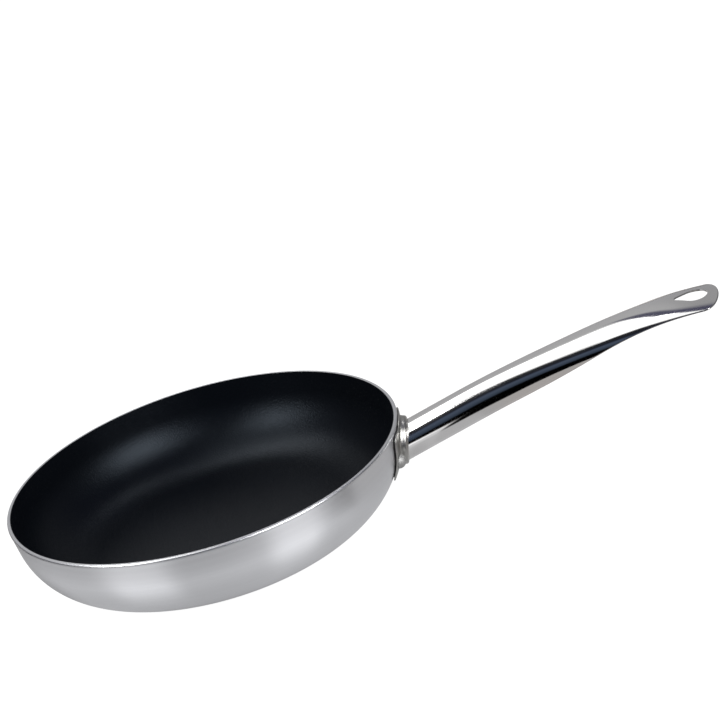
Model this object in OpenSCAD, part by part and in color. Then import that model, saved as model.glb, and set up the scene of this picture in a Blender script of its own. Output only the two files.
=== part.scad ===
// Omelette pan: a pressed aluminium pan with a non-stick lining, and a stainless handle
// rolled from sheet, on a bracket that two rivets hold to the wall.
// The origin is the centre of the base's underside, and the handle points along +X.

/* [Pan] */
// Diameter over the rim
rim_d = 240; // [180:1:340]
// Height from the table to the rim
pan_h = 50; // [42:0.5:90]
// Lean of the wall from the vertical, in degrees
wall_lean = 8.4; // [2:0.1:20]
// Outside radius of the bend between the wall and the base
bend_r = 43; // [20:0.5:48]
// Thickness of the wall
wall_t = 2; // [1.2:0.1:4]
// Thickness of the base
base_t = 4; // [2:0.1:8]
// Radius turned on the lip's outer corner
lip_r = 0.9; // [0.3:0.1:1.1]
// Thickness of the non-stick lining
coat_t = 0.3; // [0.2:0.05:0.6]

/* [Bracket] */
// Thickness of the bracket plate
plate_t = 1.6; // [1:0.1:3]
// Distance of the plate's straight upper edge below the rim
plate_drop = 2.5; // [1:0.25:6]
// Metal below the boss's foot
plate_foot = 1.7; // [0.5:0.1:5]
// Metal beside the rivet heads
plate_edge = 0.6; // [0.5:0.1:10]
// Radius of the plate's corners
plate_corner = 5; // [2:0.5:10]
// Width of the flat ledge round the weld on the boss's face
boss_ledge = 0.2; // [0.2:0.1:4]
// Lean of the boss's side, in degrees
boss_side = 10; // [4:1:30]
// How far the boss stands out from the plate
boss_h = 3.3; // [2.5:0.1:8]
// Radius of the boss's shoulder
boss_round = 1.4; // [0.3:0.1:2.4]
// Distance of the boss's foot below the rim
boss_top = 0.1; // [0.1:0.1:5]

/* [Rivets] */
// Diameter of a rivet's shank
rivet_d = 5; // [3:0.1:6]
// Diameter of the outer heads
head_d = 8.6; // [7:0.1:14]
// Height of the outer heads
head_h = 4; // [1.5:0.1:4.2]
// Diameter of the flat heads inside the pan
inner_head_d = 9.6; // [7:0.1:13]
// Height of the flat heads inside the pan
inner_head_h = 1.4; // [0.8:0.1:2.5]
// Distance between the boss's foot and an outer head
head_space = 0.2; // [0.1:0.1:8]
// Distance of the rivets below the boss's centre
rivet_low = 4.4; // [0:0.1:8]
// Clearance round a shank
rivet_gap = 0.1; // [0.05:0.05:0.3]

/* [Handle] */
// Diameter of the tube that the sheet is rolled to at the pan
tube_d = 21.8; // [18:0.1:24]
// Thickness of the sheet
sheet_t = 1; // [0.8:0.1:1.5]
// Width of the open seam under the tube
seam_gap = 1.5; // [0.5:0.1:3]
// Angle at which the tube rises from the pan, in degrees
tube_rise = 17.5; // [5:0.1:20]
// Distance of the handle's tip beyond the rim
handle_l = 197.2; // [160:0.1:280]
// Distance beyond the rim at which the tube begins to open and widen
open_from = 39; // [15:1:80]
// Distance beyond the rim at which its top begins to flatten
crown_from = 121; // [60:1:125]
// Distance beyond the rim at which the handle begins to level out
level_from = 110; // [60:1:125]
// Length over which the handle levels out
level_l = 85; // [50:1:140]
// Length of the blade at the handle's end
blade_l = 23; // [15:1:32]
// Width of the blade
blade_w = 38; // [30:0.5:42]
// Angle through which the blade's crown curves to each side, in degrees
crown_turn = 13; // [8:1:20]
// Angle to which the blade's edges are turned down, in degrees
edge_turn = 52; // [35:1:75]
// Radius at which they are turned
edge_r = 4; // [2.5:0.1:6]
// Length of the rounded tip
tip_l = 9.4; // [5:0.1:16]

/* [Hanging hole] */
// Width of the drop-shaped hole
hole_w = 15.2; // [10:0.1:20]
// Width of its narrow end
hole_neck = 5; // [3:0.1:8]
// Distance between the centres of its two rounded ends
hole_draw = 9.2; // [9:0.1:20]
// Metal left between the hole and the tip
hole_edge = 6.2; // [4:0.1:9]

/* [Weld] */
// Size of the weld round the tube
weld_r = 0.6; // [0.3:0.1:1.5]

/* [Hidden] */
$fn = 180;
// Steps round a section of the sheet, and the greatest length between two sections
arc_n = 32;
ring_n = 2 * (arc_n + 1);
ring_step = 4;
// Sections in the rounded tip, which ends blunt where its outline has turned so far
tip_n = 6;
tip_turn = 83;
// Steps round the weld
weld_n = 40;
// Extra length of a cutter past the surface that it cuts
over = 5;

rim_r = rim_d / 2;
// The base is as wide as the wall's lean and the bend leave it
base_r = rim_r - (pan_h - bend_r) * tan(wall_lean) - bend_r / cos(wall_lean);
// The inner bend has the outer one's height, so the metal thins evenly from base to wall
inner_bend_r = bend_r - base_t;
inner_rim_r = rim_r - wall_t / cos(wall_lean);
inner_base_r = inner_rim_r - (pan_h - bend_r) * tan(wall_lean) - inner_bend_r / cos(wall_lean);

// Slope of the outer wall from the vertical, and its radius, at height z
function wall_angle(z) = z > bend_r * (1 - sin(wall_lean)) ? wall_lean : asin((bend_r - z) / bend_r);
function wall_r(z) = z > bend_r * (1 - sin(wall_lean))
    ? rim_r - (pan_h - z) * tan(wall_lean)
    : base_r + bend_r * cos(wall_angle(z));
// Thickness of the metal at height z
function metal_t(z) = z > bend_r * (1 - sin(wall_lean))
    ? wall_t
    : bend_r - inner_bend_r - (inner_base_r - base_r) * cos(wall_angle(z));

// The boss's flat face takes the tube's slanting end and the weld. A round shoulder and a
// leaning side lead from it to the foot on the plate.
flat_r = tube_d / 2 / cos(wall_lean + tube_rise) + weld_r + boss_ledge;
foot_r = flat_r + (boss_round + (boss_h - boss_round) * sin(boss_side)) / cos(boss_side);
boss_z = pan_h - boss_top - foot_r;
// The boss's flat face stands this far out from the wall
face_out = plate_t + boss_h;
face_angle = wall_angle(boss_z);
face_x = wall_r(boss_z) + face_out * cos(face_angle);
face_z = boss_z - face_out * sin(face_angle);

// The rivets lie just clear of the foot, and the plate ends beyond them
rivet_z = boss_z - rivet_low;
rivet_out = sqrt(pow(foot_r + head_space + head_d / 2, 2) - pow(rivet_low, 2));
rivet_turn = asin(rivet_out / wall_r(rivet_z));
plate_w = 2 * (rivet_out + head_d / 2 + plate_edge);
plate_low = boss_top + 2 * foot_r + plate_foot;
// The plate's section is bent in flats, as far as the lower edge and a little past it
bend_flats = 5;
bend_end = wall_angle(pan_h - plate_low) + 10;

// What is cut from a corner at [r, r] to turn it round
module corner_cut(r) {
    difference() {
        square(2 * r);
        circle(r = r);
    }
}

// Half of a dish's section, from the axis to the wall: floor, bend and radius at the rim
module dish(floor_z, bend, top_r) {
    low_r = top_r - (pan_h - floor_z - bend) * tan(wall_lean) - bend / cos(wall_lean);
    bend_z = floor_z + bend;
    far = 2 * bend;
    polygon([[0, floor_z], [low_r, floor_z],
        [low_r + bend * cos(wall_lean), bend_z - bend * sin(wall_lean)], [top_r, pan_h], [0, pan_h]]);
    intersection() {
        translate([low_r, bend_z])
            circle(r = bend);
        polygon([[low_r, bend_z], [low_r, bend_z - far],
            [low_r + far * cos(wall_lean), bend_z - far],
            [low_r + far * cos(wall_lean), bend_z - far * sin(wall_lean)]]);
    }
}

// The pan's outer form, moved out by d
module outer_dish(d = 0) {
    dish(-d, bend_r + d, rim_r + d / cos(wall_lean));
}

// The pan's inside, moved in by d
module inner_dish(d = 0) {
    dish(base_t + d, inner_bend_r - d, inner_rim_r - d / cos(wall_lean));
}

// Children stand on the wall where each rivet goes, with +Z straight out of it
module at_rivets() {
    for (side = [-1, 1])
        rotate([0, 0, side * rivet_turn])
        translate([wall_r(rivet_z), 0, rivet_z])
        rotate([0, 90 + wall_angle(rivet_z), 0])
            children();
}

module rivet_holes() {
    at_rivets()
    translate([0, 0, -over])
        cylinder(d = rivet_d + 2 * rivet_gap, h = 2 * over + plate_t);
}

// A cap of a sphere on the plane z = 0
module cap(d, h) {
    ball_r = (d * d / 4 + h * h) / (2 * h);
    rotate_extrude()
    intersection() {
        translate([0, h - ball_r])
            circle(r = ball_r);
        square([d, h]);
    }
}

module pan_body() {
    color("silver")
    difference() {
        rotate_extrude()
        difference() {
            outer_dish();
            inner_dish();
            // The lip's outer corner is turned round
            translate([rim_r - lip_r, pan_h - lip_r])
                corner_cut(lip_r);
        }
        rivet_holes();
    }
}

module nonstick_coating() {
    color([0.06, 0.06, 0.07])
    difference() {
        rotate_extrude()
        difference() {
            inner_dish();
            inner_dish(coat_t);
        }
        rivet_holes();
    }
}

module rounded_plate(w, h, r) {
    difference() {
        square([w, h], center = true);
        for (x = [0, 1], y = [0, 1])
            mirror([x, 0])
            mirror([0, y])
            translate([w / 2 - r, h / 2 - r])
                corner_cut(r);
    }
}

// Children stand on the wall where the boss goes, with +Z straight out of it
module at_boss() {
    translate([wall_r(boss_z), 0, boss_z])
    rotate([0, 90 + face_angle, 0])
        children();
}

// The boss's outside, from inside the plate to the face, with a rounded shoulder
module boss_form() {
    round_z = face_out - boss_round;
    rotate_extrude() {
        polygon([[0, -plate_t / 2], [foot_r, -plate_t / 2], [foot_r, plate_t],
            [flat_r + boss_round * cos(boss_side), round_z + boss_round * sin(boss_side)],
            [flat_r, face_out], [0, face_out]]);
        translate([flat_r, round_z])
            circle(r = boss_round);
    }
}

// The hollow behind the boss leaves the sheet's own thickness
module boss_hollow() {
    low_r = foot_r - plate_t * (1 - sin(boss_side)) / cos(boss_side);
    rotate_extrude()
        polygon([[0, -over], [low_r, -over], [low_r, 0],
            [low_r - boss_h * tan(boss_side), boss_h], [0, boss_h]]);
}

// Corners of a face of the plate at distance d from the wall, from below the plate to the
// rim. Each flat touches the pan's wall or its bend.
function plate_face(d) =
    let (flat = (bend_end - wall_lean) / bend_flats, r = (bend_r + d) / cos(flat / 2))
    concat(
        [for (i = [bend_flats - 1 : -1 : 0])
            let (a = wall_lean + (i + 0.5) * flat)
            [base_r + r * cos(a), bend_r - r * sin(a)]],
        [[rim_r + d / cos(wall_lean), pan_h]]);

module plate_section() {
    inner = plate_face(0);
    polygon(concat(inner, [for (i = [len(inner) - 1 : -1 : 0]) plate_face(plate_t)[i]]));
}

// What lies inside a plate's face
module plate_core(d) {
    low_z = plate_face(d)[0][1];
    rotate_extrude()
        polygon(concat([[0, low_z]], plate_face(d), [[0, pan_h]]));
}

module bracket() {
    color("lightgray")
    difference() {
        union() {
            intersection() {
                rotate_extrude()
                    plate_section();
                translate([base_r, 0, pan_h - (plate_drop + plate_low) / 2])
                rotate([90, 0, 90])
                linear_extrude(rim_r) {
                    rounded_plate(plate_w, plate_low - plate_drop, plate_corner);
                    translate([0, boss_z - pan_h + (plate_drop + plate_low) / 2])
                        circle(r = foot_r);
                }
            }
            difference() {
                at_boss()
                    boss_form();
                plate_core(plate_t / 2);
            }
        }
        at_boss()
            boss_hollow();
        rivet_holes();
    }
}

module rivets() {
    inner_z = metal_t(rivet_z) + coat_t + inner_head_d * inner_head_d / (8 * inner_bend_r);
    color("gainsboro")
    at_rivets() {
        translate([0, 0, -inner_z - inner_head_h / 2])
            cylinder(d = rivet_d, h = inner_z + inner_head_h / 2 + plate_t + head_h / 2);
        translate([0, 0, plate_t])
            cap(head_d, head_h);
        translate([0, 0, -inner_z])
        mirror([0, 0, 1])
            cap(inner_head_d, inner_head_h);
    }
}

// How far the easing from 0 to 1 has gone, for t from 0 to 1
function ease(t) = t <= 0 ? 0 : t >= 1 ? 1 : t * t * (3 - 2 * t);

// Distance of the tip from the pan's axis, and where the changes along the handle lie
tip_x = rim_r + handle_l;
open_x = rim_r + open_from;
crown_x = rim_r + crown_from;
level_x = rim_r + level_from;
blade_x = tip_x - blade_l;
// The sheet goes round the tube so far on each side, which leaves the seam open
seam_turn = 180 - asin(seam_gap / tube_d);
tube_h = tube_d / 2 * (1 - cos(seam_turn));
// The crown is the part of each section up to this turn, until the top begins to flatten
roll_turn = 48;
// Height of the blade's section
crown_r = (blade_w / 2 - edge_r * (sin(edge_turn) - sin(crown_turn))) / sin(crown_turn);
blade_h = crown_r * (1 - cos(crown_turn)) + edge_r * (cos(crown_turn) - cos(edge_turn));
// Length of an arc for its radius and its angle in degrees
function arc_l(r, a) = r * a * PI / 180;

// Slope of the handle's centreline at x, and its height
function slope(x) = tan(tube_rise) * (1 - ease((x - level_x) / level_l));
// The easing's integral gives the height exactly
function eased(t) = t <= 0 ? 0 : t >= 1 ? t - 1 / 2 : t * t * t * (1 - t / 2);
function line_z(x) = face_z + tan(tube_rise) * (x - face_x - level_l * eased((x - level_x) / level_l));

// The form of the sheet's section at x: the radius and the turn of its crown, the radius and
// the turn of its sides, and how high its top is over the centreline. The two radii follow
// from the section's width and height.
function form(x) =
    let (opened = ease((x - open_x) / (tip_x - open_x)),
        half_w = (tube_d + (blade_w - tube_d) * opened) / 2,
        h = tube_h + (blade_h - tube_h) * opened,
        crown = roll_turn + (crown_turn - roll_turn) * ease((x - crown_x) / (blade_x - crown_x)),
        turn = seam_turn + (edge_turn - seam_turn) * ease((x - open_x) / (blade_x - open_x)),
        side_w = (turn < 90 ? sin(turn) : 1) - sin(crown),
        side_h = cos(crown) - cos(turn),
        det = sin(crown) * side_h - side_w * (1 - cos(crown)))
    [(half_w * side_h - h * side_w) / det, crown,
        (h * sin(crown) - half_w * (1 - cos(crown))) / det, turn, h / 2];

// Length of half the section along the sheet. Share is how much of its width the tip leaves.
function half_length(f, share) =
    let (crown_w = f[0] * sin(f[1]),
        w = share * (crown_w + f[2] * ((f[3] < 90 ? sin(f[3]) : 1) - sin(f[1]))))
    share == 1 ? arc_l(f[0], f[1]) + arc_l(f[2], f[3] - f[1])
    : w < crown_w ? arc_l(f[0], asin(w / f[0]))
    : arc_l(f[0], f[1]) + arc_l(f[2], asin((w - crown_w) / f[2] + sin(f[1])) - f[1]);

// A point across and up on the section, so far from its middle along the sheet's outside and
// so deep in the sheet
function on_sheet(f, far, deep) =
    let (crown_l = arc_l(f[0], f[1]),
        c = min(abs(far), crown_l) / arc_l(f[0], 1),
        a = c + max(0, abs(far) - crown_l) / arc_l(f[2], 1))
    [sign(far) * (f[0] * sin(c) + f[2] * (sin(a) - sin(c)) - deep * sin(a)),
        f[4] - f[0] * (1 - cos(c)) - f[2] * (cos(c) - cos(a)) - deep * cos(a)];

// Points round the sheet's section at x, along its outside and back along its inside
function profile(x, share = 1) =
    let (f = form(x), half = half_length(f, share))
    concat(
        [for (i = [0 : arc_n]) on_sheet(f, half * (2 * i / arc_n - 1), 0)],
        [for (i = [arc_n : -1 : 0]) on_sheet(f, half * (2 * i / arc_n - 1), sheet_t)]);

// The section at x, square to the centreline
function section(x, share = 1) =
    let (lean = atan(slope(x)))
    [for (p = profile(x, share)) [x - p[1] * sin(lean), p[0], line_z(x) + p[1] * cos(lean)]];

// The tube's first section lies on the boss's face
function first_section() =
    [for (p = profile(face_x))
        let (x = -p[1] * sin(tube_rise), z = p[1] * cos(tube_rise),
            back = (x * cos(face_angle) - z * sin(face_angle)) / cos(face_angle + tube_rise))
        [face_x + x - back * cos(tube_rise), p[0], face_z + z - back * sin(tube_rise)]];

function steps(from, to) =
    let (n = ceil((to - from) / ring_step))
    [for (i = [0 : n]) from + (to - from) * i / n];

// A closed solid through a list of sections of ring_n points each
module loft(sections) {
    last = len(sections) - 1;
    polyhedron(
        points = [for (s = sections) each s],
        faces = concat(
            [[for (i = [0 : ring_n - 1]) i]],
            [for (k = [0 : last - 1], i = [0 : ring_n - 1])
                let (j = (i + 1) % ring_n, a = k * ring_n, b = a + ring_n)
                [a + i, b + i, b + j, a + j]],
            [[for (i = [ring_n - 1 : -1 : 0]) last * ring_n + i]]));
}

// Outline of the drop-shaped hole, round the centre of its wide end
module hole_outline() {
    r = hole_w / 2;
    neck_r = hole_neck / 2;
    lean = asin((r - neck_r) / hole_draw);
    circle(r = r);
    translate([-hole_draw, 0])
        circle(r = neck_r);
    polygon([
        [-r * sin(lean), r * cos(lean)], [-r * sin(lean), -r * cos(lean)],
        [-hole_draw - neck_r * sin(lean), -neck_r * cos(lean)],
        [-hole_draw - neck_r * sin(lean), neck_r * cos(lean)]]);
}

module handle_tube() {
    tip_from = tip_x - tip_l;
    color("gainsboro")
    difference() {
        loft(concat(
            [first_section()],
            [for (x = steps(open_x, tip_from)) section(x)],
            [for (i = [1 : tip_n])
                let (a = tip_turn * i / tip_n)
                section(tip_from + tip_l * sin(a) / sin(tip_turn), cos(a))]));
        translate([tip_x - hole_edge - hole_w / 2, 0, 0])
        linear_extrude(line_z(tip_x) + blade_h + over)
            hole_outline();
    }
}

// A ring of weld metal in the corner between the tube and the boss's face
module weld_bead() {
    stretch = 1 / cos(face_angle + tube_rise);
    color("darkgray")
    at_boss()
    translate([0, 0, face_out])
        polyhedron(
            points = [for (i = [0 : weld_n - 1], k = [0 : 2])
                let (a = 360 * (i + 0.5) / weld_n, w = k == 1 ? weld_r : 0, up = k == 2 ? weld_r : 0,
                    shift = up * tan(face_angle + tube_rise))
                [(tube_d / 2 * stretch + w) * sin(a) - shift, (tube_d / 2 + w) * cos(a), up]],
            faces = [for (i = [0 : weld_n - 1], k = [0 : 2])
                let (j = (i + 1) % weld_n, m = (k + 1) % 3)
                [3 * i + k, 3 * j + k, 3 * j + m, 3 * i + m]]);
}

pan_body();
nonstick_coating();
bracket();
rivets();
handle_tube();
weld_bead();
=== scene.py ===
import math

import bmesh
import bpy
from mathutils import Matrix, Vector


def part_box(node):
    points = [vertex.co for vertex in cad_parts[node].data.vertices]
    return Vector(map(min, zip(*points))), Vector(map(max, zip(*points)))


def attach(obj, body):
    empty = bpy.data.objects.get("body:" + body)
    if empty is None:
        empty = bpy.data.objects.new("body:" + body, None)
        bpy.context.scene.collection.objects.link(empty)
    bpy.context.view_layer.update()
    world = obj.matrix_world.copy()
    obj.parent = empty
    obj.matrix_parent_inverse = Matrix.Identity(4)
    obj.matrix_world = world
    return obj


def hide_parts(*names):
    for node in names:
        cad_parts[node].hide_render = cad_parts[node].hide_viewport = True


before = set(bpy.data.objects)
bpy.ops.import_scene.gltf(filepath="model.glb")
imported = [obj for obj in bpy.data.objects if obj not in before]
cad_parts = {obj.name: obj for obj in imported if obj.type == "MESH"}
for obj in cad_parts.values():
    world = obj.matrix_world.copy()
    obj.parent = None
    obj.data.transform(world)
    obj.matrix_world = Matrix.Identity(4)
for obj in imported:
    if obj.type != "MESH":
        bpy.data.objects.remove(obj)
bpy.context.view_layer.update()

MM = 0.001


# The pan's body is one sheet of aluminium, pressed to a dish with a flat base, a wide bend
# and a wall that leans out. Its outside is turned to a satin finish of fine rings, and the
# outer corner of the lip is turned round.
rim_r = 120 * MM
pan_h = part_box("pan_body")[1].z
wall_lean = math.radians(8.4)
bend_r = 43 * MM
wall_t = 2 * MM
base_t = 4 * MM
lip_r = 0.9 * MM
turned_steps = 384
base_steps, bend_steps, wall_steps, lip_steps = 24, 40, 6, 8


def dish_outline(base_z, bend, top_r):
    """Radius and height along a dish from the axis to the rim: base, bend and wall."""
    low_r = top_r - (pan_h - base_z - bend) * math.tan(wall_lean) - bend / math.cos(wall_lean)
    points = [(low_r * k / base_steps, base_z) for k in range(base_steps)]
    for k in range(bend_steps + 1):
        turn = (math.pi / 2 - wall_lean) * k / bend_steps
        points.append((low_r + bend * math.sin(turn), base_z + bend - bend * math.cos(turn)))
    end_r, end_z = points[-1]
    for k in range(1, wall_steps + 1):
        share = k / wall_steps
        points.append((end_r + (top_r - end_r) * share, end_z + (pan_h - end_z) * share))
    return points


def solid(name, build, sharp=50):
    """A mesh object of the faces that build() makes, smooth up to edges of sharp degrees."""
    form = bmesh.new()
    build(form)
    bmesh.ops.remove_doubles(form, verts=form.verts, dist=1e-7)
    bmesh.ops.recalc_face_normals(form, faces=form.faces)
    mesh = bpy.data.meshes.new(name)
    form.to_mesh(mesh)
    form.free()
    mesh.shade_smooth()
    mesh.set_sharp_from_angle(angle=math.radians(sharp))
    piece = bpy.data.objects.new(name, mesh)
    bpy.context.scene.collection.objects.link(piece)
    return piece


def skin(form, rings, closed=False):
    """Faces between rings of points. With closed, the last ring meets the first one again."""
    rows = [[form.verts.new(p) for p in ring] for ring in rings]
    for row, next_row in zip(rows, rows[1:] + (rows[:1] if closed else [])):
        for k in range(len(row)):
            after = (k + 1) % len(row)
            form.faces.new((row[k], row[after], next_row[after], next_row[k]))
    return rows


def close_row(form, row, middle):
    """A fan of faces from the point middle to a closed row of vertices."""
    hub = form.verts.new(middle)
    for vert, following in zip(row, row[1:] + row[:1]):
        form.faces.new((hub, vert, following))


def turned(name, outline, place=Matrix(), steps=turned_steps, sharp=50):
    """A solid turned round the Z axis of place from an outline that starts and ends on it."""

    def build(form):
        turns = [2 * math.pi * k / steps for k in range(steps)]
        rows = skin(form, [
            [place @ Vector((r * math.cos(t), r * math.sin(t), z)) for t in turns]
            for r, z in outline[1:-1]
        ])
        close_row(form, rows[0], place @ Vector((0, 0, outline[0][1])))
        close_row(form, rows[-1], place @ Vector((0, 0, outline[-1][1])))

    return solid(name, build, sharp)


class Link:
    """A socket of a finish. Arithmetic on it adds Math nodes."""

    def __init__(self, finish, socket):
        self.finish, self.socket = finish, socket

    def other(self, out):
        """Another output of the same node."""
        return Link(self.finish, self.socket.node.outputs[out])

    def math(self, operation, *values):
        """A Math node that does this operation on the values."""
        return self.finish.add("ShaderNodeMath", {"operation": operation}, dict(enumerate(values)))

    def __add__(self, other):
        return self.math("ADD", self, other)

    def __sub__(self, other):
        return self.math("SUBTRACT", self, other)

    def __rsub__(self, other):
        return self.math("SUBTRACT", other, self)

    def __mul__(self, other):
        return self.math("MULTIPLY", self, other)

    def __truediv__(self, other):
        return self.math("DIVIDE", self, other)

    def __pow__(self, other):
        return self.math("POWER", self, other)

    __radd__, __rmul__ = __add__, __mul__


class Finish:
    """A material for one of the pan's finishes, made of nodes."""

    def __init__(self, name, **constants):
        self.material = bpy.data.materials.new(name)
        self.material.use_nodes = True
        self.tree = self.material.node_tree
        self.shader = self.tree.nodes["Principled BSDF"]
        for key, value in constants.items():
            socket = key.replace("_", " ").title().replace("Ior", "IOR")
            self.shader.inputs[socket].default_value = value

    def add(self, kind, settings=None, values=None, out=0):
        """A node of this kind with its settings, then its sockets' values or links."""
        node = self.tree.nodes.new(kind)
        for key, value in (settings or {}).items():
            if key == "stops":
                stops = node.color_ramp.elements
                while len(stops) < len(value):
                    stops.new(1)
                for stop, (position, colour) in zip(stops, value):
                    stop.position, stop.color = position, (*colour, 1)
            else:
                setattr(node, key, value)
        for key, value in (values or {}).items():
            if isinstance(value, Link):
                self.tree.links.new(value.socket, node.inputs[key])
            else:
                node.inputs[key].default_value = value
        return Link(self, node.outputs[out])

    def feed(self, socket, link):
        """The link drives this socket of the shader."""
        self.tree.links.new(link.socket, self.shader.inputs[socket])

    def bump(self, strength, depth, height):
        """The surface rises and falls with height, by up to depth in metres."""
        self.feed("Normal", self.add("ShaderNodeBump", {}, {
            "Strength": strength, "Distance": depth, "Height": height}))

    def place(self):
        """The point on the surface in metres, in the pan's own frame."""
        return self.add("ShaderNodeTexCoord", out="Object")

    def blend(self, factor, low, high):
        """A colour between low and high."""
        return self.add(
            "ShaderNodeMix", {"data_type": "RGBA"}, {0: factor, 6: low, 7: high}, out=2)

    def grain(self, vector, scale, detail=3):
        """Cloudy noise with scale grains to the metre."""
        return self.add(
            "ShaderNodeTexNoise", {}, {"Vector": vector, "Scale": scale, "Detail": detail})

    def stretch(self, vector, scales):
        """The vector times a scale along each axis."""
        return self.add(
            "ShaderNodeVectorMath", {"operation": "MULTIPLY"}, {0: vector, 1: scales})

    def rings(self, distance, scale, detail):
        """Noise along distance alone, with scale rings to the metre."""
        return self.add("ShaderNodeTexNoise", {"noise_dimensions": "1D"}, {
            "W": distance * scale, "Scale": 1.0, "Detail": detail})


def dress(piece, finish, slot, *nodes):
    """The piece takes its finish, stands for its CAD nodes and rides on the pan."""
    piece.data.materials.append(finish.material)
    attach(piece, "root")
    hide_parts(*nodes)


inner_bend_r = bend_r - base_t
inner_rim_r = rim_r - wall_t / math.cos(wall_lean)
outside = dish_outline(0, bend_r, rim_r)[:-1]
inside = dish_outline(base_t, inner_bend_r, inner_rim_r)
lip = [
    (rim_r - lip_r + lip_r * math.cos(t), pan_h - lip_r + lip_r * math.sin(t))
    for t in (math.pi / 2 * k / lip_steps for k in range(lip_steps + 1))
]
pan_body = turned("pan_body_shell", outside + lip + inside[::-1], sharp=40)

satin = Finish("satin_aluminium", metallic=1.0, anisotropic=0.65, anisotropic_rotation=0.25)
where = satin.place()
spot_x = satin.add("ShaderNodeSeparateXYZ", values={0: where})
spot_y, spot_z = spot_x.other("Y"), spot_x.other("Z")
outline_way = (spot_x * spot_x + spot_y * spot_y) ** 0.5 + spot_z
fine_rings = satin.rings(outline_way, 2600, 4.0)
wide_rings = satin.rings(outline_way, 330, 2.0)
cloud = satin.grain(where, 26.0)
tone = fine_rings * 0.3 + wide_rings * 0.3 + cloud * 0.4
satin.feed("Base Color", satin.blend(tone, (0.53, 0.535, 0.55, 1), (0.63, 0.635, 0.65, 1)))
satin.feed("Roughness", 0.3 + cloud * 0.06 + fine_rings * 0.08)
satin.bump(0.12, 0.06 * MM, fine_rings + wide_rings)
dress(pan_body, satin, "aluminium", "pan_body")


# The non-stick lining is sprayed inside the dish and baked on. It is black with a trace of
# blue, half-gloss, with the fine grain of the spray, and it ends on the inner edge of the lip.
coat_t = 0.3 * MM
coat_rim_r = inner_rim_r - coat_t / math.cos(wall_lean)
coat_top = dish_outline(base_t + coat_t, inner_bend_r - coat_t, coat_rim_r)
lining = turned("nonstick_lining", coat_top + inside[::-1], sharp=60)

black = Finish(
    "baked_black_lining", specular_ior_level=0.125, specular_tint=(0.72, 0.85, 1.0, 1.0))
where = black.place()
speckle = black.grain(where, 2600.0, 2)
pores = black.grain(where, 900.0)
cloud = black.grain(where, 18.0)
tone = speckle * 0.6 + cloud * 0.4
black.feed("Base Color", black.blend(
    tone, (0.0005, 0.0007, 0.0011, 1), (0.0025, 0.0032, 0.0048, 1)))
black.feed("Roughness", 0.27 + cloud * 0.08)
black.bump(0.6, 0.26 * MM, speckle * 0.4 + pores)
dress(lining, black, "nonstick", "nonstick_coating")


# The bracket is pressed from stainless sheet. Its plate follows the wall, and a boss like a
# low cone is drawn out of it for the handle. Its edge stands a little off the wall.
plate_t = 1.6 * MM
plate_drop = 2.5 * MM
plate_foot = 1.7 * MM
plate_edge = 0.6 * MM
corner_r = 5 * MM
tube_d = 21.8 * MM
tube_rise = math.radians(17.5)
weld_r = 0.6 * MM
boss_ledge = 0.2 * MM
flat_r = tube_d / 2 / math.cos(wall_lean + tube_rise) + weld_r + boss_ledge
boss_h = 3.3 * MM
boss_side = math.radians(10)
shoulder_r = 1.4 * MM
foot_r = flat_r + (shoulder_r + (boss_h - shoulder_r) * math.sin(boss_side)) / math.cos(boss_side)
boss_top = 0.1 * MM
boss_drop = boss_top + foot_r
plate_low = boss_top + 2 * foot_r + plate_foot
head_r = 4.3 * MM
head_space = 0.2 * MM
rivet_low = 4.4 * MM
rivet_out = math.sqrt((foot_r + head_space + head_r) ** 2 - rivet_low**2)
half_plate = rivet_out + head_r + plate_edge
plate_rim = 0.5 * MM
edge_r = 0.35 * MM
edge_gap = 0.7 * MM
edge_bevel = 0.1 * MM
free_l = 1.2 * MM
seat_l = 2 * MM
seat_gap = 0.02 * MM
hub_r = 0.3 * MM
fold_start, fold_start_h = 0.2 * MM, 0.4 * MM
fold_mid, fold_mid_h = 0.05 * MM, 0.12 * MM
fold_end = 0.3 * MM
bracket_steps, shoulder_steps, plate_steps = 288, 6, 5
base_r = rim_r - (pan_h - bend_r) * math.tan(wall_lean) - bend_r / math.cos(wall_lean)


def wall_angle(z):
    """Slope of the outer wall from the vertical at height z."""
    return max(wall_lean, math.asin(min(1, (bend_r - z) / bend_r)))


def wall_r(z):
    """Radius of the outer wall at height z."""
    if z > bend_r * (1 - math.sin(wall_lean)):
        return rim_r - (pan_h - z) * math.tan(wall_lean)
    return base_r + bend_r * math.cos(wall_angle(z))


boss_z = pan_h - boss_drop
face_out = plate_t + boss_h
lean = wall_angle(boss_z)
outward = Vector((math.cos(lean), 0, -math.sin(lean)))
sideways = Vector((0, 1, 0))
upward = Vector((math.sin(lean), 0, math.cos(lean)))
boss_foot = Vector((wall_r(boss_z), 0, boss_z))


def on_wall(side, up, out):
    """A point at distance out from the wall, seen at side and up from the boss's middle."""
    point = boss_foot + sideways * side + upward * up
    for _ in range(6):
        point -= outward * (math.hypot(point.x, point.y) - wall_r(point.z))
    turn, slope = math.atan2(point.y, point.x), wall_angle(point.z)
    level_out = math.cos(slope)
    return point + out * Vector(
        (level_out * math.cos(turn), level_out * math.sin(turn), -math.sin(slope)))


def plate_reach(turn):
    """Distance from the boss's middle to the plate's edge in the direction turn."""
    c, s = abs(math.cos(turn)), abs(math.sin(turn))
    tall = boss_drop - plate_drop if math.sin(turn) > 0 else plate_low - boss_drop
    reach = min(half_plate / c if c > 1e-6 else 1, tall / s if s > 1e-6 else 1)
    corner_x, corner_y = half_plate - corner_r, tall - corner_r
    if reach * c > corner_x and reach * s > corner_y:
        beside_corner = corner_x * s - corner_y * c
        reach = corner_x * c + corner_y * s + math.sqrt(max(0, corner_r**2 - beside_corner**2))
    return max(reach, foot_r + plate_rim)


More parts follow.
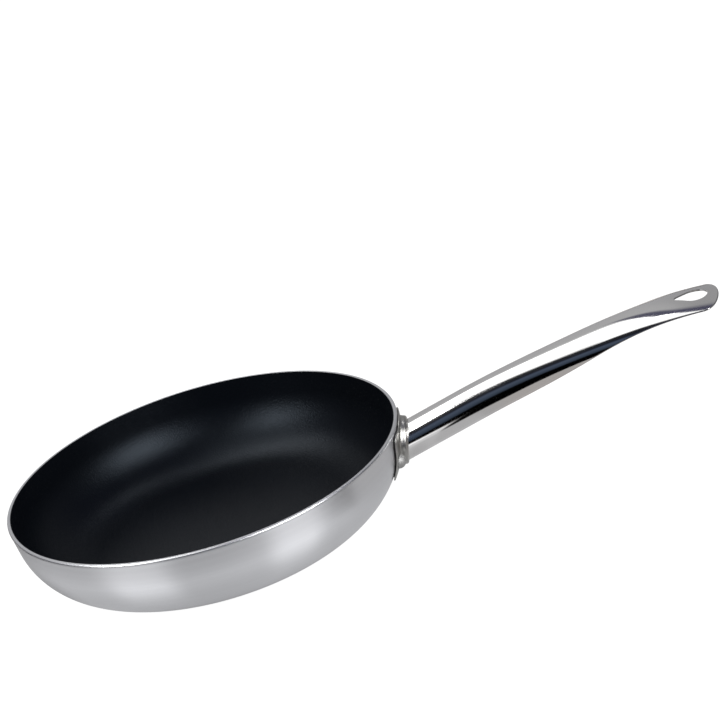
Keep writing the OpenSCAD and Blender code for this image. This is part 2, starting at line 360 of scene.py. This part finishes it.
def build_bracket(form):
    """Rings about the boss's middle: its face, its side, the plate, then the plate's back."""
    turns = [2 * math.pi * (k + 0.5) / bracket_steps for k in range(bracket_steps)]
    thirds = (1 / 3, 2 / 3, 1)
    profile = [(flat_r * share, face_out) for share in thirds]
    for k in range(1, shoulder_steps + 1):
        t = (math.pi / 2 - boss_side) * k / shoulder_steps
        profile.append(
            (flat_r + shoulder_r * math.sin(t), face_out - shoulder_r + shoulder_r * math.cos(t)))
    low_r, low_out = profile[-1]
    end_r, end_out = foot_r - fold_start, plate_t + fold_start_h
    profile += [(low_r + (end_r - low_r) * share, low_out + (end_out - low_out) * share)
                for share in thirds]
    rings = [[boss_foot + sideways * r * math.cos(t) + upward * r * math.sin(t) + outward * out
              for t in turns] for r, out in profile]

    def add_ring(reach_at, out):
        """A ring along the wall at distance out, reach_at(turn) away from the boss's middle."""
        reaches = [reach_at(t) for t in turns]
        rings.append(
            [on_wall(r * math.cos(t), r * math.sin(t), out) for r, t in zip(reaches, turns)])

    start_r = foot_r + fold_end
    add_ring(lambda t: foot_r + fold_mid, plate_t + fold_mid_h)
    add_ring(lambda t: start_r, plate_t)
    for k in range(1, plate_steps):
        add_ring(
            lambda t: start_r + (plate_reach(t) - edge_r - start_r) * k / plate_steps, plate_t)
    for inward, out in (
            (edge_r, plate_t), (0.3 * edge_r, plate_t - 0.3 * edge_r), (0, plate_t - edge_r),
            (0, edge_gap + edge_bevel), (edge_bevel, edge_gap), (free_l, edge_gap),
            (seat_l, seat_gap)):
        add_ring(lambda t: plate_reach(t) - inward, out)
    add_ring(lambda t: hub_r, seat_gap)
    rows = skin(form, rings)
    close_row(form, rows[0], boss_foot + outward * face_out)
    close_row(form, rows[-1], boss_foot + outward * seat_gap)


bracket = solid("pressed_bracket", build_bracket, 60)

pressed = Finish("pressed_stainless", metallic=1.0)
where = pressed.place()
cloud = pressed.grain(where, 90.0)
scratches = pressed.grain(pressed.stretch(where, (60, 60, 1400)), 1.0, 4)
pressed.feed("Base Color", pressed.blend(cloud, (0.29, 0.286, 0.272, 1), (0.36, 0.355, 0.34, 1)))
pressed.feed("Roughness", 0.26 + cloud * 0.1 + scratches * 0.06)
pressed.bump(0.15, 0.05 * MM, scratches + cloud * 2)
dress(bracket, pressed, "bracket_steel", "bracket")


# Two aluminium rivets hold the bracket, one on each side of the handle. Each has a high round
# head outside and a low wide head inside the pan, set by a press.
shank_r = 2.5 * MM
head_h = 4 * MM
inner_head_r = 4.8 * MM
inner_head_h = 1.4 * MM
cap_steps, rivet_steps = 14, 72
rivet_z = boss_z - rivet_low
rivet_slope = wall_angle(rivet_z)
inner_low_r = inner_rim_r - inner_bend_r / math.cos(wall_lean)
inner_base_r = inner_low_r - (pan_h - bend_r) * math.tan(wall_lean)
metal_there = wall_t
if rivet_slope > wall_lean:
    metal_there = base_t - (inner_base_r - base_r) * math.cos(rivet_slope)
under_head = metal_there + coat_t + inner_head_r**2 / (2 * inner_bend_r)


def cap_outline(r, h):
    """Radius and height over a cap of a ball, from its edge to its top."""
    ball_r = (r * r + h * h) / (2 * h)
    widest = math.asin(min(1, r / ball_r))
    if h > ball_r:
        widest = math.pi - widest
    turns = [widest * (1 - k / cap_steps) for k in range(cap_steps + 1)]
    return [(ball_r * math.sin(t), h - ball_r + ball_r * math.cos(t)) for t in turns]


outer_cap = [(r, plate_t + z) for r, z in cap_outline(head_r, head_h)]
inner_cap = [(r, -under_head - z) for r, z in cap_outline(inner_head_r, inner_head_h)]
rivet_outline = inner_cap[::-1] + [(shank_r, -under_head), (shank_r, plate_t)] + outer_cap
struck = Finish("pressed_rivet_metal", metallic=1.0)
where = struck.place()
cloud = struck.grain(where, 300.0)
pits = struck.grain(where, 1500.0, 2)
struck.feed("Base Color", struck.blend(cloud, (0.3, 0.3, 0.295, 1), (0.38, 0.38, 0.37, 1)))
struck.feed("Roughness", 0.58 + cloud * 0.12)
struck.bump(0.2, 0.04 * MM, pits + cloud * 2)
for name, side in (("rivet_left", 1), ("rivet_right", -1)):
    turn = side * math.asin(rivet_out / wall_r(rivet_z))
    seat = (Matrix.Rotation(turn, 4, "Z") @ Matrix.Translation((wall_r(rivet_z), 0, rivet_z))
            @ Matrix.Rotation(math.pi / 2 + rivet_slope, 4, "Y"))
    rivet = turned(name, rivet_outline, seat, steps=rivet_steps, sharp=45)
    dress(rivet, struck, "rivet_metal", "rivets")


# The handle is one stainless sheet, rolled to a tube at the pan with its seam underneath. Towards
# the tip it opens and is pressed to a shallow arched blade, which levels out. Its edges are
# deburred round, and a drop-shaped hole for hanging is punched through the blade.
sheet_t = 1 * MM
seam_gap = 1.5 * MM
tip_x = rim_r + 197.2 * MM
open_x = rim_r + 39 * MM
crown_x = rim_r + 121 * MM
level_x = rim_r + 110 * MM
level_l = 85 * MM
blade_x = tip_x - 23 * MM
blade_w = 38 * MM
crown_turn = math.radians(13)
flank_turn = math.radians(52)
flank_r = 4 * MM
tip_l = 9.4 * MM
mitre_l = 8 * MM
face_mid = boss_foot + outward * face_out
roll_turn = math.radians(48)
seam_turn = math.pi - math.asin(seam_gap / tube_d)
tube_h = tube_d / 2 * (1 - math.cos(seam_turn))
crown_w = blade_w / 2 - flank_r * (math.sin(flank_turn) - math.sin(crown_turn))
crown_h = crown_w / math.sin(crown_turn) * (1 - math.cos(crown_turn))
blade_h = crown_h + flank_r * (math.cos(crown_turn) - math.cos(flank_turn))
crown_limit = 0.97
flank_steps, crown_steps, round_steps = 32, 24, 6
tube_steps, opening_steps, tip_steps = 6, 110, 30


def ease(t):
    """The share of a change that is done, from 0 to 1, for t from 0 to 1."""
    t = min(1, max(0, t))
    return t * t * (3 - 2 * t)


def tube_slope(x):
    """Rise of the handle's centreline at x, as an angle."""
    return math.atan(math.tan(tube_rise) * (1 - ease((x - level_x) / level_l)))


def tube_z(x):
    """Height of the handle's centreline at x."""
    t = (x - level_x) / level_l
    eased = 0 if t <= 0 else t - 0.5 if t >= 1 else t**3 * (1 - t / 2)
    return face_mid.z + math.tan(tube_rise) * (x - face_mid.x - level_l * eased)


def sheet_form(x):
    """The section at x: its crown's radius and turn, its flanks' radius and turn, and its top."""
    opened = ease((x - open_x) / (tip_x - open_x))
    half_w = (tube_d + (blade_w - tube_d) * opened) / 2
    h = tube_h + (blade_h - tube_h) * opened
    crown = roll_turn + (crown_turn - roll_turn) * ease((x - crown_x) / (blade_x - crown_x))
    turn = seam_turn + (flank_turn - seam_turn) * ease((x - open_x) / (blade_x - open_x))
    wide = (math.sin(turn) if turn < math.pi / 2 else 1) - math.sin(crown)
    tall = math.cos(crown) - math.cos(turn)
    scale = math.sin(crown) * tall - wide * (1 - math.cos(crown))
    top_r = (half_w * tall - h * wide) / scale
    side_r = (h * math.sin(crown) - half_w * (1 - math.cos(crown))) / scale
    return top_r, crown, side_r, turn, h / 2


def section(x, tip_turn=0.0):
    """The sheet's section at x, or the one the round tip cuts at tip_turn, up to a quarter turn."""
    top_r, crown, side_r, turn, top = sheet_form(x)
    half_t = sheet_t / 2
    top_w, top_l = top_r * math.sin(crown), top_r * crown
    out_x, out_y = 0.0, 1.0
    reach = top_l + side_r * (turn - half_t / (side_r - half_t) - crown)
    if tip_turn:
        half_w = top_w + side_r * (math.sin(turn) - math.sin(crown))
        out_x, out_y = math.sin(tip_turn) / tip_l, math.cos(tip_turn) / half_w
        size = math.hypot(out_x, out_y)
        out_x, out_y = out_x / size, out_y / size
        x -= half_t * out_x
        cut = max(0.0, half_w * math.cos(tip_turn) - half_t * out_y)
        if cut < top_w:
            cut_l = top_r * math.asin(cut / top_r)
        else:
            cut_turn = math.asin((cut - top_w) / side_r + math.sin(crown))
            cut_l = top_l + side_r * (cut_turn - crown)
        reach = min(reach, cut_l)
    slope, mid_z = tube_slope(x), tube_z(x)

    def put(y, up, forward=0.0):
        """The point of the section at y and up from the centreline."""
        return Vector((x + forward - up * math.sin(slope), y, mid_z + up * math.cos(slope)))

    def on_face(length, depth):
        """A point so far from the middle along the sheet's outside, and so deep in the sheet."""
        side = 1 if length > 0 else -1
        c = min(abs(length), top_l) / top_r
        bend = c + max(0.0, abs(length) - top_l) / side_r
        y = top_r * math.sin(c) + side_r * (math.sin(bend) - math.sin(c)) - depth * math.sin(bend)
        down = top_r * (1 - math.cos(c)) + side_r * (math.cos(c) - math.cos(bend))
        return side * y, top - down - depth * math.cos(bend), side * bend

    crown_end = min(top_l, crown_limit * reach)
    flank_l = reach - crown_end
    flank_run = [crown_end + flank_l * k / flank_steps for k in range(1, flank_steps + 1)]
    crown_run = [crown_end * (2 * k / crown_steps - 1) for k in range(crown_steps + 1)]
    lengths = [-length for length in flank_run[::-1]] + crown_run + flank_run
    ring = [put(*on_face(length, 0)[:2]) for length in lengths]
    for side in (1, -1):
        y, up, bend = on_face(side * (reach + 1e-9), half_t)
        for k in range(1, round_steps):
            t = math.pi * k / round_steps
            if side < 0:
                t = math.pi - t
            out, lift = half_t * math.sin(t), half_t * math.cos(t)
            edge_y = y + side * out * out_y * math.cos(bend) + lift * math.sin(bend)
            edge_up = up - out * out_y * math.sin(abs(bend)) + lift * math.cos(bend)
            ring.append(put(edge_y, edge_up, out * out_x))
        if side > 0:
            ring += [put(*on_face(length, sheet_t)[:2]) for length in lengths[::-1]]
    return ring


def tube_start():
    """The section where the tube meets the boss's face."""
    axis = Vector((math.cos(tube_rise), 0, math.sin(tube_rise)))
    ring = section(face_mid.x)
    return [p - axis * ((p - face_mid).dot(outward) / axis.dot(outward)) for p in ring]


def build_handle(form):
    """The sheet's sections from the boss to the tip."""
    start_x, end_x = face_mid.x + mitre_l, tip_x - tip_l
    rings = [tube_start()]
    rings += [section(start_x + (open_x - start_x) * k / tube_steps) for k in range(tube_steps)]
    rings += [section(open_x + (end_x - open_x) * k / opening_steps) for k in range(opening_steps)]
    tip_turns = [math.pi / 2 * k / tip_steps for k in range(1, tip_steps + 1)]
    rings += [section(end_x + tip_l * math.sin(t), t) for t in tip_turns]
    rows = skin(form, rings)
    form.faces.new(rows[0])


handle = solid("handle_rolled_sheet", build_handle, 35)

hole_w = 15.2 * MM
hole_neck = 5 * MM
hole_draw = 9.2 * MM
hole_edge = 6.2 * MM
hole_round = 0.12 * MM
punch_over, punch_flare = 3 * MM, 0.1 * MM
hole_x = tip_x - hole_edge - hole_w / 2
wide_steps, neck_steps, lip_round_steps = 48, 20, 4


def drop_outline(wider):
    """The hole's outline, made wider all round, with its narrow end towards the pan."""
    r, neck_r = hole_w / 2 + wider, hole_neck / 2 + wider
    quarter = math.pi / 2
    past = math.asin((r - neck_r) / hole_draw)
    wide = [quarter + past - 2 * (quarter + past) * k / wide_steps for k in range(wide_steps + 1)]
    neck = [-quarter - past - 2 * (quarter - past) * k / neck_steps for k in range(neck_steps + 1)]
    points = [(hole_x + r * math.cos(t), r * math.sin(t)) for t in wide]
    points += [(hole_x - hole_draw + neck_r * math.cos(t), neck_r * math.sin(t)) for t in neck]
    return points


def build_punch(form):
    """The hole's outline as a punch, which also rounds the hole's two edges."""
    levels = [(hole_round + punch_flare, punch_over)]
    for k in range(lip_round_steps + 1):
        t = math.pi / 2 * k / lip_round_steps
        levels.append((hole_round * (1 - math.sin(t)), -hole_round * (1 - math.cos(t))))
    levels += [(wider, -sheet_t - up) for wider, up in levels[::-1]]
    rows = skin(form, [
        [Vector((x, y, tube_z(x) + sheet_form(x)[4] + up)) for x, y in drop_outline(wider)]
        for wider, up in levels
    ])
    form.faces.new(rows[0])
    form.faces.new(rows[-1])


punch = solid("hole_punch", build_punch)
cut = handle.modifiers.new("hanging_hole", "BOOLEAN")
cut.object, cut.operation, cut.solver = punch, "DIFFERENCE", "EXACT"
handle_now = handle.evaluated_get(bpy.context.evaluated_depsgraph_get())
punched = bpy.data.meshes.new_from_object(handle_now)
handle.modifiers.clear()
handle.data = punched
handle.data.set_sharp_from_angle(angle=math.radians(35))
bpy.data.objects.remove(punch)

mirror = Finish("polished_stainless", metallic=1.0)
where = mirror.place()
cloud = mirror.grain(where, 40.0)
polish_marks = mirror.grain(mirror.stretch(where, (30, 900, 900)), 1.0, 4)
mirror.feed("Base Color", mirror.blend(cloud, (0.56, 0.555, 0.55, 1), (0.62, 0.615, 0.61, 1)))
mirror.feed("Roughness", 0.07 + cloud * 0.04 + polish_marks * 0.04)
mirror.bump(0.06, 0.03 * MM, polish_marks + cloud)
dress(handle, mirror, "handle_steel", "handle_tube")


# The tube is welded to the boss's face all round, and the bead is ground back to a small
# hollow fillet and polished with the rest.
weld_steps, hollow_steps = 160, 6
hollow_depth = 0.96


def build_weld(form):
    """The bead's hollow section, taken round the tube's end."""
    stretch = 1 / math.cos(lean + tube_rise)
    tilt = math.tan(lean + tube_rise)
    profile = [(0, 0), (0, weld_r)]
    for k in range(1, hollow_steps):
        t = math.pi / 2 * k / hollow_steps
        profile.append(
            (weld_r * (1 - math.cos(t)) * hollow_depth, weld_r * (1 - math.sin(t)) * hollow_depth))
    profile.append((weld_r, 0))
    rings = []
    for k in range(weld_steps):
        turn = 2 * math.pi * (k + 0.5) / weld_steps
        ring = []
        for wider, up in profile:
            side = (tube_d / 2 + wider) * math.cos(turn)
            rise = (tube_d / 2 * stretch + wider) * math.sin(turn) + up * tilt
            ring.append(boss_foot + sideways * side + upward * rise + outward * (face_out + up))
        rings.append(ring)
    skin(form, rings, closed=True)


weld = solid("weld_fillet", build_weld, 60)
ground = Finish("ground_weld", metallic=1.0)
ripple = ground.grain(ground.place(), 700.0)
ground.feed("Base Color", ground.blend(ripple, (0.4, 0.39, 0.37, 1), (0.52, 0.51, 0.49, 1)))
ground.feed("Roughness", 0.24 + ripple * 0.14)
ground.bump(0.4, 0.08 * MM, ripple)
dress(weld, ground, "weld", "weld_bead")


# The floor is a wide white sheet that keeps a soft shadow under the pan. The camera sees it
# plain white. The metal sees a painted glow on it, bright near the pan and behind it, with two
# painted pools of light in front of the pan, which the wall shows as soft bands.
sheet_half = 3.0
sheet_drop = 0.2 * MM
handle_turn = math.radians(13)
toward = Vector((math.sin(handle_turn), -math.cos(handle_turn), 0))
beside = Vector((math.cos(handle_turn), math.sin(handle_turn), 0))
wall_mid_r = 119 * MM
fan_out = 7.2
pool_fade = 8
# A pair is where a fade starts and ends: two radii, two bearings in degrees or two places
lit_fade, pool_rise = (200 * MM, 170 * MM), (105 * MM, 140 * MM)
base_rise, wall_rise = (86 * MM, 104 * MM), (118 * MM, 150 * MM)
left_end, left_dim, right_end = (-110, -90), (-60, -84), (96, 82)
behind_rise = (-80 * MM, -120 * MM)
front_y, front_step, front_fade = -62 * MM, 90 * MM, 4 * MM
front_turn = (180 * MM, 240 * MM)
handle_back, handle_start = (70 * MM, 35 * MM), (110 * MM, 140 * MM)
bracket_dim, handle_dim = (118 * MM, 130 * MM), (138 * MM, 146 * MM)


def plane(name, corners):
    """A flat sheet between four corners."""
    return solid(name, lambda form: form.faces.new([form.verts.new(p) for p in corners]))


def ramp(link, start, end):
    """From 0 to 1 as the link goes from start to end, upwards or downwards."""
    low, high = (0.0, 1.0) if start < end else (1.0, 0.0)
    return link.finish.add("ShaderNodeMapRange", {"interpolation_type": "SMOOTHSTEP"}, {
        0: link, 1: min(start, end), 2: max(start, end), 3: low, 4: high})


def pool(bearing, start, end):
    """A painted pool of light between two bearings in degrees."""
    return ramp(bearing, start, start + pool_fade) * ramp(bearing, end, end - pool_fade)


def larger(link, other):
    """The larger of two links."""
    return link.math("MAXIMUM", link, other)


def direction(rise, run):
    """The direction of a point in degrees, from its rise and its run."""
    return rise.math("ARCTAN2", rise, run) * (180 / math.pi)


floor = plane("white_sheet", [
    (side * sheet_half, end * sheet_half, -sheet_drop)
    for side, end in ((-1, -1), (1, -1), (1, 1), (-1, 1))
])
sheet = Finish("white_paper_painted_glow", roughness=1.0, specular_ior_level=0.0, emission_strength=2.0)
camera_ray = sheet.add("ShaderNodeLightPath", out="Is Camera Ray")
glossy_ray = camera_ray.other("Is Glossy Ray")
shown = larger(camera_ray, camera_ray.other("Is Transmission Ray"))
sheet.feed("Base Color", (1 - glossy_ray) * 0.14)
spot_x = sheet.add("ShaderNodeSeparateXYZ", values={0: sheet.place()})
spot_y = spot_x.other("Y")
ahead = spot_x * toward.x + spot_y * toward.y
right_of = spot_x * beside.x + spot_y * beside.y
span = (ahead * ahead + right_of * right_of) ** 0.5
bearing = direction(right_of, ahead) / (1 + (span - wall_mid_r) * fan_out)
# The glow built here is painted light that only the metal sees, not light from a lamp
near_pan = ramp(span, *lit_fade)
pools = pool(bearing, -43, -15) * 0.55 + pool(bearing, 8, 33) * 0.6
past_front = spot_y - front_y + ramp(spot_x, *front_turn) * front_step
past_edge = ramp(past_front, -front_fade, front_fade)
under_handle = past_edge * ramp(spot_y, *handle_back) * ramp(spot_x, *handle_start)
by_handle = ramp(spot_x, *handle_dim)
level = near_pan * ramp(bearing, *right_end) * ramp(bearing, *left_end)
level = level * (1 - ramp(bearing, *left_dim) * 0.4)
level = level * (1 + pools * ramp(span, *pool_rise))
# Painted shade: the glow is darker close to the pan's foot
level = level * (0.35 + ramp(span, *base_rise) * 0.35 + ramp(span, *wall_rise) * 0.3)
# Painted shade in the glow under the bracket and beside the handle
level = level * (1 - ramp(spot_x, *bracket_dim) * past_edge * 0.2)
level = level * (1 - by_handle * 0.15) * (1 - by_handle * (1 - past_edge))
# Painted reflection: a brighter patch of glow under the handle and behind the pan
level = larger(level, under_handle * 0.6)
level = larger(level, ramp(ahead, *behind_rise) * 0.6)
tint = sheet.blend(near_pan, (1, 0.955, 0.93, 1), (0.985, 0.985, 1, 1))
in_metal = sheet.blend(level / 2, (0, 0, 0, 1), tint)
to_camera = sheet.blend(shown, (0, 0, 0, 1), (0.485, 0.485, 0.485, 1))
sheet.feed("Emission Color", sheet.blend(glossy_ray, to_camera, in_metal))
floor.data.materials.append(sheet.material)


# The studio is plain white to the camera. The metal sees bands across it, by the angle in
# degrees up from the camera's side: dark with a blue gleam low down, then a wide bright
# ceiling, then a grey room behind the pan.
world = bpy.data.worlds.new("studio")
bpy.context.scene.world = world
world.use_nodes = True
room_stops = [
    (-24, (0.001, 0.001, 0.002)), (-6, (0.006, 0.008, 0.013)), (10, (0.03, 0.041, 0.061)),
    (27, (0.044, 0.058, 0.088)), (40, (0.005, 0.006, 0.011)), (66, (0.003, 0.004, 0.006)),
    (73, (1.0, 1.0, 1.0)), (121, (1.0, 1.0, 1.0)), (129, (0.315, 0.315, 0.32)),
    (152, (0.3, 0.3, 0.305)), (179, (0.25, 0.25, 0.26)),
]


class Room(Finish):
    """The finish of the studio round the pan, on the world's background."""

    def __init__(self):
        self.tree = world.node_tree
        self.shader = self.tree.nodes["Background"]


room = Room()
view_way = room.add("ShaderNodeTexCoord", out="Generated")
way_x = room.add("ShaderNodeSeparateXYZ", values={0: view_way})
way_y, way_z = way_x.other("Y"), way_x.other("Z")
angle = direction(way_z, way_x * toward.x + way_y * toward.y)
stops = [(stop_angle / 360 + 0.5, colour) for stop_angle, colour in room_stops]
shade = room.add("ShaderNodeValToRGB", {"stops": stops}, {0: angle / 360 + 0.5})
# A dark blind covers the ceiling from the middle to the right, apart from one bright slit
slit = ramp(angle, 98, 106) * ramp(angle, 122, 116)
blind = ramp(angle + way_x * 340, 56, 64) * ramp(angle, 136, 130)
blind = blind * (1 - slit * ramp(way_x, 0.1, 0.16) * ramp(way_x, 0.38, 0.2))
shade = room.blend(blind, shade, (0.05, 0.05, 0.08, 1))
# The room is dark at its far left, and a darker grey behind the pan on its right
shade = room.blend(ramp(way_x, -0.58, -0.72), shade, (0.06, 0.06, 0.07, 1))
right_behind = ramp(angle, 128, 136) * ramp(way_x, -0.06, 0.05)
shade = room.blend(right_behind * 0.5, shade, (0.15, 0.15, 0.155, 1))
camera_ray = room.add("ShaderNodeLightPath", out="Is Camera Ray")
room.feed("Color", room.blend(camera_ray, shade, (1, 1, 1, 1)))
room.feed("Strength", camera_ray + (1 - camera_ray) * (2.0 + slit * (1 - blind) * 4.0))


# Two soft boxes light the pan from the camera's side, one from its left and one from its
# right. The camera doesn't see them.
box_h = 0.8
box_distance = 1.3


def soft_box(name, turn, elevation, width, power):
    """A lamp that faces the pan. Turn is measured from the camera's side, to the right."""
    lamp = bpy.data.lights.new(name, "AREA")
    lamp.shape, lamp.size, lamp.size_y, lamp.energy = "RECTANGLE", width, box_h, power
    box = bpy.data.objects.new(name, lamp)
    bpy.context.scene.collection.objects.link(box)
    turn, elevation = math.radians(turn) + handle_turn, math.radians(elevation)
    level_way = Vector((math.sin(turn), -math.cos(turn), 0)) * math.cos(elevation)
    way = level_way + Vector((0, 0, math.sin(elevation)))
    box.location = way * box_distance + Vector((0, 0, pan_h))
    box.rotation_euler = way.to_track_quat("Z", "Y").to_euler()
    box.visible_camera = False


soft_box("left_box", -63, 36, 0.42, 12)
soft_box("right_box", 36, 31, 0.8, 22)


# A card that glows a faint grey stands beyond the handle's tip, and its glow keeps that side of
# the metal grey. The camera doesn't see the card itself.
card_x = 0.355
card_near, card_far = -0.12, 0.16
card_h = 0.3
card = plane("glowing_grey_card", [
    (card_x, card_near, 0), (card_x, card_far, 0),
    (card_x, card_far, card_h), (card_x, card_near, card_h),
])
board = Finish(
    "grey_glow_board", base_color=(0.01, 0.01, 0.01, 1), roughness=1.0, specular_ior_level=0.0,
    emission_color=(0.2, 0.2, 0.205, 1), emission_strength=1.0)
card.data.materials.append(board.material)
card.visible_camera = False


# The camera stands at the photograph's angle, rolled a little. It looks at the rim's middle,
# which lies off to the lower left of the frame.
frame_px = 720
aim_px = (201.255, 461.148)
distance = 1.3
camera_up = math.radians(22.97)
roll = math.radians(-17.83)
px_per_mm = 1.678085
focal = px_per_mm / MM * distance
back = Vector((0, -math.cos(camera_up), math.sin(camera_up)))
right = Vector((1, 0, 0))
up = back.cross(right)
rolled_right = math.cos(roll) * right + math.sin(roll) * up
rolled_up = math.cos(roll) * up - math.sin(roll) * right
rolled = Matrix((rolled_right, rolled_up, back))
aim_right, aim_down = [(px - frame_px / 2) / focal for px in aim_px]
aim = Vector((aim_right, -aim_down, -1)).normalized()
turned_way = Vector((0, 0, -1)).rotation_difference(aim).to_matrix() @ rolled
to_pan = Matrix.Rotation(handle_turn, 3, "Z")
stand = to_pan @ (turned_way.transposed() @ (-aim * distance)) + Vector((0, 0, pan_h))
lens = bpy.data.cameras.new("photo_view")
lens.sensor_width = 36
lens.lens = focal / frame_px * lens.sensor_width
lens.clip_end = 50
camera = bpy.data.objects.new("photo_view", lens)
bpy.context.scene.collection.objects.link(camera)
camera.matrix_world = Matrix.Translation(stand) @ (to_pan @ turned_way.transposed()).to_4x4()
bpy.context.scene.camera = camera
bpy.context.scene.view_settings.view_transform = "Standard"
